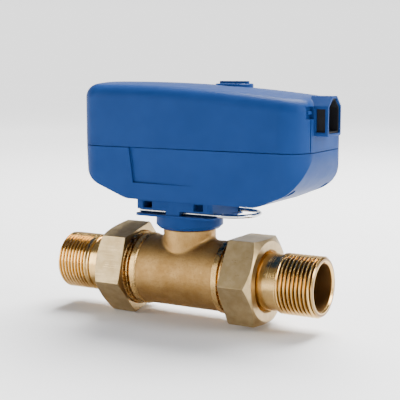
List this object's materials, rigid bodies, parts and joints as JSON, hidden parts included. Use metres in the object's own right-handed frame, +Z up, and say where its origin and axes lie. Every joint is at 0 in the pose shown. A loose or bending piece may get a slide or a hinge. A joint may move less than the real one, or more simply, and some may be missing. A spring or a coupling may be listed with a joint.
{
  "type": "motorised zone valve",
  "caption": "Brass two-way ball zone valve with union ends and a blue motorised actuator held on by a wire clip",
  "frame": {"origin": "where the pipe axis meets the stem axis, at the centre of the ball", "axes": "+X along the pipe towards the connector end, -Y the front, +Z up the stem"},
  "size_m": [0.1367, 0.0474, 0.1066],
  "materials": {
    "blue_plastic": "moulded satin ABS, fine texture",
    "black_plastic": "moulded black nylon",
    "cast_brass": "hot-pressed brass, shot-blasted, machined rings",
    "nut_brass": "satin brushed brass",
    "turned_brass": "bright turned brass",
    "ball_chrome": "hard chrome, polished",
    "ptfe": "white PTFE",
    "elastomer": "black EPDM",
    "fibre_gasket": "pressed green fibre",
    "spring_steel": "bright stainless spring wire",
    "screw_steel": "zinc-plated steel",
    "plate_steel": "galvanised sheet steel",
    "motor_steel": "drawn steel can",
    "acetal": "natural acetal",
    "cam_acetal": "orange acetal",
    "board": "green solder mask",
    "contact_brass": "tinned brass blade",
    "capacitor_sleeve": "shrink sleeve on an aluminium can"
  },
  "bodies": {
    "valve": {"valve_body": "cast_brass", "ball_seats": "ptfe", "seat_retainer": "turned_brass", "stem_thrust_washer": "ptfe", "gasket_left": "fibre_gasket", "gasket_right": "fibre_gasket", "tailpiece_left": "turned_brass", "tailpiece_right": "turned_brass", "base_housing": "blue_plastic", "cover": "blue_plastic", "housing_seal": "elastomer", "cover_screws": "screw_steel", "connector_insert": "black_plastic", "connector_contacts": "contact_brass", "output_bush": "acetal", "open_switch": "black_plastic", "closed_switch": "black_plastic", "switch_terminals": "contact_brass", "gear_axle": "screw_steel", "gear_plate": "plate_steel", "gear_plate_screws": "screw_steel", "plate_spacers": "screw_steel", "top_plate": "plate_steel", "top_plate_screws": "screw_steel", "motor_can": "motor_steel", "motor_screws": "screw_steel", "circuit_board": "board", "board_relay": "black_plastic", "board_capacitor": "capacitor_sleeve", "board_terminals": "black_plastic"},
    "output_turn": {"ball": "ball_chrome", "stem": "turned_brass", "stem_o_rings": "elastomer", "output_shaft": "acetal", "open_cam": "cam_acetal", "closed_cam": "cam_acetal", "output_gear": "acetal", "indicator_drive_gear": "acetal"},
    "reduction": {"reduction_gear": "acetal"},
    "motor_rotor": {"motor_shaft": "screw_steel", "motor_pinion": "acetal"},
    "manual_knob": {"knob_shaft": "acetal", "indicator_gear": "acetal", "override_knob": "blue_plastic"},
    "open_button": {"open_plunger": "acetal"},
    "closed_button": {"closed_plunger": "acetal"},
    "left_nut": {"union_nut_left": "nut_brass"},
    "right_nut": {"union_nut_right": "nut_brass"},
    "clip": {"wire_clip": "spring_steel"}
  },
  "joints": [
    {"name": "output_turn", "type": "hinge", "parent": "valve", "child": "output_turn", "pos_m": [0, 0, 0], "axis": [0, 0, 1], "range_deg": [0, 90]},
    {"name": "reduction_spin", "type": "hinge", "parent": "valve", "child": "reduction", "pos_m": [0.0187, 0, 0], "axis": [0, 0, 1], "range_deg": [-376, 1]},
    {"name": "motor_spin", "type": "hinge", "parent": "valve", "child": "motor_rotor", "pos_m": [0.0359, 0, 0], "axis": [0, 0, 1], "range_deg": [-1, 1407]},
    {"name": "knob_turn", "type": "hinge", "parent": "valve", "child": "manual_knob", "pos_m": [0.01818, 0.00808, 0], "axis": [0, 0, 1], "range_deg": [-91, 1]},
    {"name": "open_button_slide", "type": "slide", "parent": "valve", "child": "open_button", "axis": [1, 0, 0], "range_m": [-0.00001, 0.00101]},
    {"name": "closed_button_slide", "type": "slide", "parent": "valve", "child": "closed_button", "axis": [1, 0, 0], "range_m": [-0.00101, 0.00001]},
    {"name": "left_nut_turn", "type": "hinge", "parent": "valve", "child": "left_nut", "pos_m": [-0.03275, 0, 0], "axis": [1, 0, 0], "continuous": true},
    {"name": "right_nut_turn", "type": "hinge", "parent": "valve", "child": "right_nut", "pos_m": [0.03275, 0, 0], "axis": [1, 0, 0], "continuous": true},
    {"name": "clip_pull", "type": "slide", "parent": "valve", "child": "clip", "axis": [1, 0, 0], "range_m": [0, 0.03]}
  ],
  "couplings": [
    {"joint": "reduction_spin", "follows": "output_turn", "ratio": -4.1667},
    {"joint": "motor_spin", "follows": "output_turn", "ratio": 15.625},
    {"joint": "knob_turn", "follows": "output_turn", "ratio": -1},
    {"joint": "open_button_slide", "follows": "output_turn", "m_per_rad": 0.00063662},
    {"joint": "closed_button_slide", "follows": "output_turn", "m_per_rad": -0.00063662}
  ]
}
